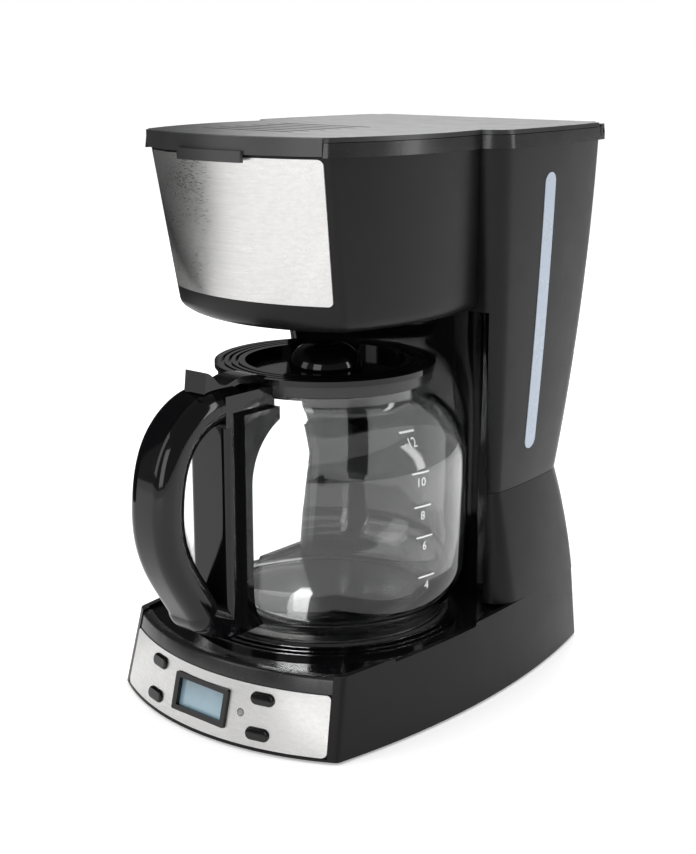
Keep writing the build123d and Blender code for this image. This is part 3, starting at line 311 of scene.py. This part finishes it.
def make_finishes():
    """Makes every material once, named by finish."""
    c = colours()
    FINISHES.update(
        housing=moulded("satin_housing", tuple(c.housing), rough=0.34, haze=0.05, shine=0.20),
        gloss=moulded("gloss_black", tuple(c.gloss), rough=0.07, grain=0.02, grain_scale=900.0,
                      haze=0.03, shine=0.36),
        lid=moulded("soft_lid", tuple(c.lid), rough=0.33, grain=0.16, grain_scale=2200.0, shine=0.6),
        trim=moulded("satin_trim", tuple(c.trim), rough=0.24, grain=0.08),
        inner=moulded("inner_plastic", (0.018, 0.018, 0.019), rough=0.45, grain=0.2),
        smoke=moulded("smoke_plastic", (0.03, 0.022, 0.016), rough=0.4, grain=0.15),
        panel=brushed("brushed_panel", tuple(c.panel), rough=0.30),
        steel=brushed("plain_steel", (0.55, 0.55, 0.56), rough=0.32, stretch=(300.0, 300.0, 20.0)),
        wire=brushed("bright_wire", (0.7, 0.7, 0.72), rough=0.15, stretch=(400.0, 400.0, 400.0),
                     strength=0.1),
        aluminium=cast_metal("bare_aluminium", (0.66, 0.67, 0.68), rough=0.42),
        glass=clear_glass("jug_glass", (0.985, 0.99, 0.988), rough=0.0, wave=0.04),
        lens=frosted("lamp_lens", (0.30, 0.31, 0.29), rough=0.18, clear=0.35),
        gauge=frosted("gauge_window", tuple(c.gauge), rough=0.28, clear=0.0, cloud=0.03),
        silicone=frosted("silicone", (0.62, 0.61, 0.56), rough=0.45, clear=0.2),
        screen=screen_face("screen", tuple(c.screen)),
        rubber=rubbery("black_rubber", (0.012, 0.012, 0.012), rough=0.62),
        board=circuit("circuit_board"),
        plate=non_stick("plate_coating"),
        ink=printed("white_ink", tuple(c.print_white)),
    )


def wear(piece, finish):
    """Gives a piece, or a CAD node, one finish all over."""
    slots = piece.data.materials
    slots.clear()
    slots.append(FINISHES[finish])
    piece.data.polygons.foreach_set("material_index", np.zeros(len(piece.data.polygons), np.int32))


# ---- making pieces ---------------------------------------------------------------------

EDGE_ANGLE = 32.0        # degrees: edges sharper than this stay sharp
GLASS_ANGLE = 40.0       # the same on the blown glass
SEAM = 1e-6              # vertices of a CAD mesh closer than this are one
GLASS_SEAM = 1e-7        # the same on the turned glass

def add_piece(name, mesh, body, finish):
    """Puts a finished mesh into the scene, on its body and with its finish."""
    piece = bpy.data.objects.new(name, mesh)
    bpy.context.scene.collection.objects.link(piece)
    wear(piece, finish)
    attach(piece, body)
    return piece


def smooth(mesh, degrees=EDGE_ANGLE):
    """Smooth shading that keeps the edges sharper than an angle."""
    mesh.shade_smooth()
    mesh.set_sharp_from_angle(angle=math.radians(degrees))


def join_doubles(mesh, distance=SEAM):
    """Joins the vertices that lie on each other."""
    work = bmesh.new()
    work.from_mesh(mesh)
    bmesh.ops.remove_doubles(work, verts=work.verts, dist=distance)
    work.to_mesh(mesh)
    work.free()


def skin(node):
    """Mesh with a CAD node's shape, its loose triangles joined and its curves smooth."""
    mesh = NODES[node].data.copy()
    mesh.name = node + "_skin"
    layer = mesh.attributes.get("custom_normal")
    if layer is not None:
        mesh.attributes.remove(layer)
    join_doubles(mesh)
    smooth(mesh)
    return mesh


def turned(name, radii, heights, steps=192):
    """Surface of revolution: each profile point (r, z) goes round the jug's axis, to
    (r cos a, y0 + r sin a, z) for a from 0 to a full turn."""
    angle = np.linspace(0.0, 2.0 * np.pi, steps, endpoint=False)
    r, a = np.meshgrid(radii, angle, indexing="ij")
    z = np.broadcast_to(np.asarray(heights)[:, None], r.shape)
    points = np.stack((r * np.cos(a), JUG_Y + r * np.sin(a), z), axis=-1).reshape(-1, 3)
    rows, columns = np.meshgrid(np.arange(len(radii) - 1), np.arange(steps), indexing="ij")
    after = (columns + 1) % steps
    corners = np.stack((rows * steps + columns, rows * steps + after,
                        (rows + 1) * steps + after, (rows + 1) * steps + columns), axis=-1)
    mesh = bpy.data.meshes.new(name)
    mesh.from_pydata(points.tolist(), [], corners.reshape(-1, 4).tolist())
    join_doubles(mesh, GLASS_SEAM)
    smooth(mesh, GLASS_ANGLE)
    return mesh


def arc(first, middle, last, count=16):
    """Points on the circle through three points, from the first to the last."""
    (ax, ay), (bx, by), (cx, cy) = first, middle, last
    d = 2 * (ax * (by - cy) + bx * (cy - ay) + cx * (ay - by))
    a2, b2, c2 = ax * ax + ay * ay, bx * bx + by * by, cx * cx + cy * cy
    ux = (a2 * (by - cy) + b2 * (cy - ay) + c2 * (ay - by)) / d
    uy = (a2 * (cx - bx) + b2 * (ax - cx) + c2 * (bx - ax)) / d
    start, mid, end = (math.atan2(y - uy, x - ux) for x, y in (first, middle, last))
    turn = (end - start) % (2 * math.pi)
    if (mid - start) % (2 * math.pi) > turn:
        turn -= 2 * math.pi
    sweep = start + np.linspace(0.0, turn, count)
    radius = math.hypot(ax - ux, ay - uy)
    return [(ux + radius * math.cos(s), uy + radius * math.sin(s)) for s in sweep]


# The glass jug in millimetres: radii of its outside, its bore and its neck, and the
# underside and the floor as (radius, rise) from the edge to the middle or back.
BELLY_R, BORE_R, NECK_R = 79.0, 76.8, 54.5
UNDERSIDE = ((0.0, 2.4), (20.0, 2.2), (38.0, 1.3), (52.0, 0.3))
FLOOR = ((52.0, 1.4), (38.0, 2.0), (20.0, 3.0), (0.0, 3.2))
STRAIGHT = (95.0, 115.0)         # heights on the belly's straight part
NECK_LOW, NECK_MIDDLE = 171.5, 176.0
LIP_DROP = 0.9                   # from the top of the lip to where its round starts


def jug_profile(wall):
    """Section of the glass jug: under the foot, up the outside, over the rim and down
    the inside.  Radii and heights in millimetres."""
    foot, rim = GLASS_LOW.z / MM, GLASS_HIGH.z / MM
    outside = [*((r, foot + rise) for r, rise in UNDERSIDE), (57.0, foot),
               *arc((60.0, foot), (72.5, 57.3), (BELLY_R, 76.0)),
               *((BELLY_R, z) for z in STRAIGHT),
               *arc((BELLY_R, 134.0), (71.0, 155.5), (58.0, 165.5)), (56.0, 167.3),
               (54.9, 169.2), (NECK_R, NECK_LOW), (NECK_R, NECK_MIDDLE), (NECK_R, rim - 1.0)]
    inner = NECK_R - wall
    lip = arc((NECK_R, rim - LIP_DROP), (NECK_R - wall / 2, rim), (inner, rim - LIP_DROP), 9)
    inside = [(inner, NECK_MIDDLE), (inner, 171.0), (inner + 0.5, 168.2), (inner + 1.8, 165.9),
              *arc((56.4, 163.7), (69.2, 154.0), (BORE_R, 133.6)),
              *((BORE_R, z) for z in reversed(STRAIGHT)),
              *arc((BORE_R, 79.5), (69.4, 61.4), (57.5, foot + wall + 1.2)),
              *((r, foot + wall + rise) for r, rise in FLOOR)]
    return np.array(outside + lip + inside) * MM


def on_shoulder(points, angle, height, lift):
    """Wraps flat points (along, up) on the outside of the jug: the angle grows by along
    over the jug's radius, and the radius follows the jug's section at each height."""
    profile = jug_profile(sizes().glass_wall / MM)
    outside = profile[:int(np.argmax(profile[:, 1]))]
    rising = outside[outside[:, 0] > FOOT_R]
    order = np.argsort(rising[:, 1])
    z = height + points[:, 1]
    radius = np.interp(z, rising[order, 1], rising[order, 0]) + lift
    turn = angle + points[:, 0] / JUG_R
    return np.stack((radius * np.cos(turn), JUG_Y + radius * np.sin(turn), z), axis=-1)


DIGIT_SHARE = 0.70       # height of a digit over the size of its font


def flat_text(body, height):
    """Flat mesh points and faces of a short text, centred left to right."""
    curve = bpy.data.curves.new("digits", "FONT")
    curve.body = body
    curve.size = height / DIGIT_SHARE
    curve.align_x = "CENTER"
    curve.resolution_u = 3
    holder = bpy.data.objects.new("digits", curve)
    bpy.context.scene.collection.objects.link(holder)
    bpy.context.view_layer.update()
    mesh = bpy.data.meshes.new_from_object(holder)
    points = np.zeros(len(mesh.vertices) * 3)
    mesh.vertices.foreach_get("co", points)
    faces = [tuple(polygon.vertices) for polygon in mesh.polygons]
    bpy.data.objects.remove(holder)
    return points.reshape(-1, 3)[:, :2], faces


DIGIT_GAP = 0.0026       # between a line and its number
PRINT_LIFT = 0.00012     # of the ink's back off the glass
FOOT_R = 0.0545          # only the outside beyond this radius carries print
LINE_STEPS = 9           # points along a printed line

# Printed cup lines: number of cups, height (mm) and angle of the middle (degrees).
CUP_LINES = ((12, 158.4, -11.0), (10, 138.4, -10.2), (8, 120.2, -9.2), (6, 103.4, -8.1),
             (4, 81.3, -6.8))


class COFFEE_OT_jug(bpy.types.Operator):
    """Makes the glass jug with its wall, foot and rim"""
    bl_idname = "coffee.jug"
    bl_label = "Glass jug"

    def execute(self, context):
        profile = jug_profile(sizes().glass_wall / MM)
        mesh = turned("glass_jug", profile[:, 0], profile[:, 1])
        piece = add_piece("glass_jug", mesh, "carafe", "glass")
        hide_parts("carafe_glass")
        return {"FINISHED"}


class COFFEE_OT_cup_marks(bpy.types.Operator):
    """Prints the cup lines and their numbers on the jug"""
    bl_idname = "coffee.cup_marks"
    bl_label = "Cup marks"

    def execute(self, context):
        s = sizes()
        points, faces, used = [], [], 0
        steps = LINE_STEPS
        along = np.linspace(-0.5, 0.5, steps) * s.mark_length
        top = np.stack((along, np.full(steps, s.mark_width / 2)), axis=-1)
        strip = np.concatenate((top - (0.0, s.mark_width), top))
        cells = [(i, i + 1, i + 1 + steps, i + steps) for i in range(steps - 1)]
        for cups, height, degrees in CUP_LINES:
            digits, letters = flat_text(str(cups), s.digit_height)
            digits[:, 1] -= s.digit_height + DIGIT_GAP
            for flat, corners in ((strip, cells), (digits, letters)):
                points.append(on_shoulder(flat, math.radians(degrees), height * MM, PRINT_LIFT))
                faces += [tuple(used + i for i in face) for face in corners]
                used += len(flat)
        mesh = bpy.data.meshes.new("cup_marks")
        mesh.from_pydata(np.concatenate(points).tolist(), [], faces)
        piece = add_piece("cup_marks", mesh, "carafe", "ink")
        thick = piece.modifiers.new("print", "SOLIDIFY")
        thick.thickness = s.print_depth
        thick.offset = 1.0
        return {"FINISHED"}


# Moulded and pressed covers: piece, CAD node, body, material slot, finish.
COVERS = (
    ("tank_shell", "tank_housing", "base", "housing_black", "housing"),
    ("base_shell", "base_housing", "base", "housing_black", "housing"),
    ("brew_shell", "brew_housing", "base", "housing_black", "housing"),
    ("rim_band", "top_rim", "base", "bezel_grey", "trim"),
    ("top_lid", "lid", "lid", "lid_grey", "lid"),
    ("column_cover", "column_front", "base", "gloss_black", "gloss"),
    ("deck", "deck_plate", "base", "gloss_black", "gloss"),
    ("bezel", "front_bezel", "base", "bezel_grey", "trim"),
    ("steel_head_panel", "head_panel", "base", "brushed_panel", "panel"),
    ("steel_control_panel", "control_panel", "base", "brushed_panel", "panel"),
    ("gauge_window", "water_gauge", "base", "gauge_clear", "gauge"),
    ("warm_plate", "hot_plate", "base", "plate_coating", "plate"),
    ("plate_gasket", "plate_seal", "base", "black_rubber", "rubber"),
    ("screen_frame", "display_frame", "base", "gloss_black", "gloss"),
    ("screen_window", "display_window", "base", "screen", "screen"),
    ("lamp_lens", "indicator_lens", "base", "lens", "lens"),
    ("hour_key", "hour_button", "hour_button", "gloss_black", "gloss"),
    ("minute_key", "minute_button", "minute_button", "gloss_black", "gloss"),
    ("program_key", "program_button", "program_button", "gloss_black", "gloss"),
    ("power_key", "power_button", "power_button", "gloss_black", "gloss"),
    ("jug_collar", "carafe_collar", "carafe", "bezel_grey", "trim"),
    ("jug_strap", "carafe_handle", "carafe", "gloss_black", "gloss"),
    ("jug_grip", "handle_grip", "carafe", "gloss_black", "gloss"),
    ("jug_lid", "carafe_lid", "carafe_lid", "gloss_black", "gloss"),
    ("jug_dome", "drip_dome", "carafe_lid", "gloss_black", "gloss"),
    ("basket", "filter_basket", "filter_basket", "inner_plastic", "inner"),
    ("mesh_filter", "permanent_filter", "filter_basket", "filter_plastic", "smoke"),
    ("drip_plunger", "drip_valve", "drip_valve", "inner_plastic", "inner"),
    ("shower", "shower_head", "lid", "inner_plastic", "inner"),
    ("water_way", "lid_water_channel", "lid", "inner_plastic", "inner"),
    ("feet", "rubber_feet", "base", "black_rubber", "rubber"),
    ("gland", "cord_gland", "base", "black_rubber", "rubber"),
)

# Finish of every CAD node that shows as it is.
KEPT = {
    "bottom_plate": "inner", "bottom_screws": "steel", "display_module": "inner",
    "button_switches": "inner", "clock_board": "board", "heating_element": "aluminium",
    "water_tube": "aluminium", "element_bracket": "steel", "bracket_screw": "steel",
    "thermostat": "steel", "thermal_fuses": "steel", "power_board": "board",
    "cold_water_hose": "silicone", "hot_water_hose": "silicone", "riser_pipe": "inner",
    "riser_grommet": "silicone", "check_valve": "inner", "hose_clips": "wire",
    "lid_hinge_pins": "steel", "valve_seal": "silicone", "valve_spring": "wire",
    "carafe_lid_pin": "steel",
}


class COFFEE_OT_covers(bpy.types.Operator):
    """Makes the moulded covers, panels, keys and the jug's plastic parts"""
    bl_idname = "coffee.covers"
    bl_label = "Covers"

    def execute(self, context):
        for name, node, body, slot, finish in COVERS:
            piece = add_piece(name, skin(node), body, finish)
            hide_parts(node)
        return {"FINISHED"}


class COFFEE_OT_inner_parts(bpy.types.Operator):
    """Gives the inner parts, hoses and fasteners their finishes"""
    bl_idname = "coffee.inner_parts"
    bl_label = "Inner parts"

    def execute(self, context):
        for node, finish in KEPT.items():
            wear(NODES[node], finish)
        return {"FINISHED"}


# ---- stage -------------------------------------------------------------------------------

LENS_MM, SENSOR_MM = 63.2, 36.0
CAMERA_NEAR = 0.01
CAMERA_PLACE = (0.53083, -0.60918, 0.352)
CAMERA_TURN = (90.0 - 14.30, 0.0, 40.47)

FLOOR_HALF = 80.0        # half the side of the square floor
FLOOR_GLOW = 0.30        # light the paper floor lets through
ROOM_LIGHT = 0.22        # what the room adds on every side
CEILING_POWER = 2.2
CEILING_SPREAD = 120.0   # degrees
CEILING_TURN = (8.0, -14.0, 0.0)
BACKDROP_LIGHT = 1.0     # the white wall behind the machine

CARD_X, CARD_REACH, CARD_HEIGHT = -0.6, (-0.62, 0.5), 1.3      # the dark card's place and size

# Soft lights: name, place, the point it faces, width, height and power.
SOFT_LIGHTS = (
    ("left_window", (-0.85, -1.45, 0.95), (0.0, 0.0, 0.15), 0.6, 1.3, 5.0),
    ("front_window", (0.45, -1.75, 0.70), (0.0, 0.0, 0.2), 0.8, 1.0, 8.0),
    ("right_window", (1.45, 0.85, 0.75), (0.0, 0.0, 0.15), 0.25, 1.2, 5.0),
    ("rear_window", (-0.55, 1.5, 1.15), (0.0, 0.0, 0.3), 1.6, 0.7, 16.0),
)


def radians_of(degrees):
    """Three angles in radians."""
    return tuple(math.radians(part) for part in degrees)


def plain_mesh(name, corners):
    """Mesh of one flat face with four corners."""
    mesh = bpy.data.meshes.new(name)
    mesh.from_pydata(corners, [], [(0, 1, 2, 3)])
    return mesh


def look_at(piece, target):
    """Turns a light so that it faces a point."""
    aim = Vector(target) - piece.location
    piece.rotation_euler = aim.to_track_quat("-Z", "Y").to_euler()


def sky_light():
    """Wide, even light from above, which keeps the floor pale and which nothing mirrors."""
    light = bpy.data.lights.new("ceiling", "SUN")
    light.energy = CEILING_POWER
    light.angle = math.radians(CEILING_SPREAD)
    piece = bpy.data.objects.new("ceiling", light)
    piece.rotation_euler = radians_of(CEILING_TURN)
    piece.visible_glossy = False
    bpy.context.scene.collection.objects.link(piece)


def soft_light(name, place, target, width, height, power):
    """Rectangular soft light."""
    light = bpy.data.lights.new(name, "AREA")
    light.shape = "RECTANGLE"
    light.size, light.size_y, light.energy = width, height, power
    piece = bpy.data.objects.new(name, light)
    piece.location = place
    bpy.context.scene.collection.objects.link(piece)
    look_at(piece, target)


def dark_card():
    """Black card to the left, which only the shiny surfaces mirror."""
    (near, far), height = CARD_REACH, CARD_HEIGHT
    mesh = plain_mesh("dark_card", [(CARD_X, near, 0.0), (CARD_X, far, 0.0),
                                    (CARD_X, far, height), (CARD_X, near, height)])
    card = bpy.data.objects.new("dark_card", mesh)
    bpy.context.scene.collection.objects.link(card)
    r = Recipe("black_card")
    r.set(Base_Color=r.tint(r.noise(30.0, 2.0), (0.010, 0.010, 0.010), (0.014, 0.014, 0.014)),
          Roughness=0.9)
    mesh.materials.append(r.material)
    card.visible_camera = card.visible_diffuse = card.visible_shadow = False
    card.visible_transmission = False


def lay_floor():
    """Pale, faintly glowing floor that runs out of sight."""
    h = FLOOR_HALF
    mesh = plain_mesh("floor", [(-h, -h, 0.0), (h, -h, 0.0), (h, h, 0.0), (-h, h, 0.0)])
    floor = bpy.data.objects.new("floor", mesh)
    bpy.context.scene.collection.objects.link(floor)
    r = Recipe("pale_floor")
    r.set(Base_Color=r.tint(r.noise(3.0, 2.0), (0.90, 0.90, 0.90), (0.93, 0.93, 0.93)), Roughness=0.7)
    r.set(Emission_Color=(1.0, 1.0, 1.0, 1.0), Emission_Strength=FLOOR_GLOW)
    mesh.materials.append(r.material)


def light_room():
    """White backdrop that lights the machine less than it shows, and a plain transform."""
    world = bpy.data.worlds.new("studio")
    world.use_nodes = True
    bpy.context.scene.world = world
    tree = world.node_tree
    sky = tree.nodes["Background"]
    sky.inputs["Color"].default_value = (1.0, 1.0, 1.0, 1.0)
    seen = tree.nodes.new("ShaderNodeLightPath").outputs["Is Camera Ray"]
    power = tree.nodes.new("ShaderNodeMapRange")
    power.inputs["To Min"].default_value = ROOM_LIGHT
    power.inputs["To Max"].default_value = BACKDROP_LIGHT
    tree.links.new(seen, power.inputs["Value"])
    tree.links.new(power.outputs["Result"], sky.inputs["Strength"])
    bpy.context.scene.view_settings.view_transform = "Standard"


def set_camera():
    """Camera in front, to the right and a little above."""
    camera = bpy.data.cameras.new("camera")
    camera.lens = LENS_MM
    camera.sensor_width = SENSOR_MM
    camera.clip_start = CAMERA_NEAR
    holder = bpy.data.objects.new("camera", camera)
    holder.location = CAMERA_PLACE
    holder.rotation_euler = radians_of(CAMERA_TURN)
    bpy.context.scene.collection.objects.link(holder)
    bpy.context.scene.camera = holder


class COFFEE_OT_stage(bpy.types.Operator):
    """Lays the pale floor and sets the soft light and the camera"""
    bl_idname = "coffee.stage"
    bl_label = "Stage"

    def execute(self, context):
        lay_floor()
        light_room()
        sky_light()
        dark_card()
        for light in SOFT_LIGHTS:
            soft_light(*light)
        set_camera()
        return {"FINISHED"}


class COFFEE_PT_panel(bpy.types.Panel):
    """Sidebar panel with the maker's steps and settings"""
    bl_idname = "COFFEE_PT_panel"
    bl_label = "Coffee maker"
    bl_space_type = "VIEW_3D"
    bl_region_type = "UI"
    bl_category = "Coffee"

    def draw(self, context):
        for step in STEPS:
            self.layout.operator(step.bl_idname)
        for group in (context.scene.coffee_colours, context.scene.coffee_sizes):
            for name in group.__annotations__:
                self.layout.prop(group, name)


STEPS = (COFFEE_OT_stage, COFFEE_OT_jug, COFFEE_OT_cup_marks, COFFEE_OT_covers, COFFEE_OT_inner_parts)
CLASSES = (CoffeeColours, CoffeeSizes, *STEPS, COFFEE_PT_panel)


def register():
    for item in CLASSES:
        bpy.utils.register_class(item)
    bpy.types.Scene.coffee_colours = bpy.props.PointerProperty(type=CoffeeColours)
    bpy.types.Scene.coffee_sizes = bpy.props.PointerProperty(type=CoffeeSizes)


def unregister():
    del bpy.types.Scene.coffee_sizes
    del bpy.types.Scene.coffee_colours
    for item in reversed(CLASSES):
        bpy.utils.unregister_class(item)


def main():
    """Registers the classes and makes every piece."""
    register()
    make_finishes()
    bpy.ops.coffee.stage()
    bpy.ops.coffee.jug()
    bpy.ops.coffee.cup_marks()
    bpy.ops.coffee.covers()
    bpy.ops.coffee.inner_parts()


if __name__ == "__main__":
    main()
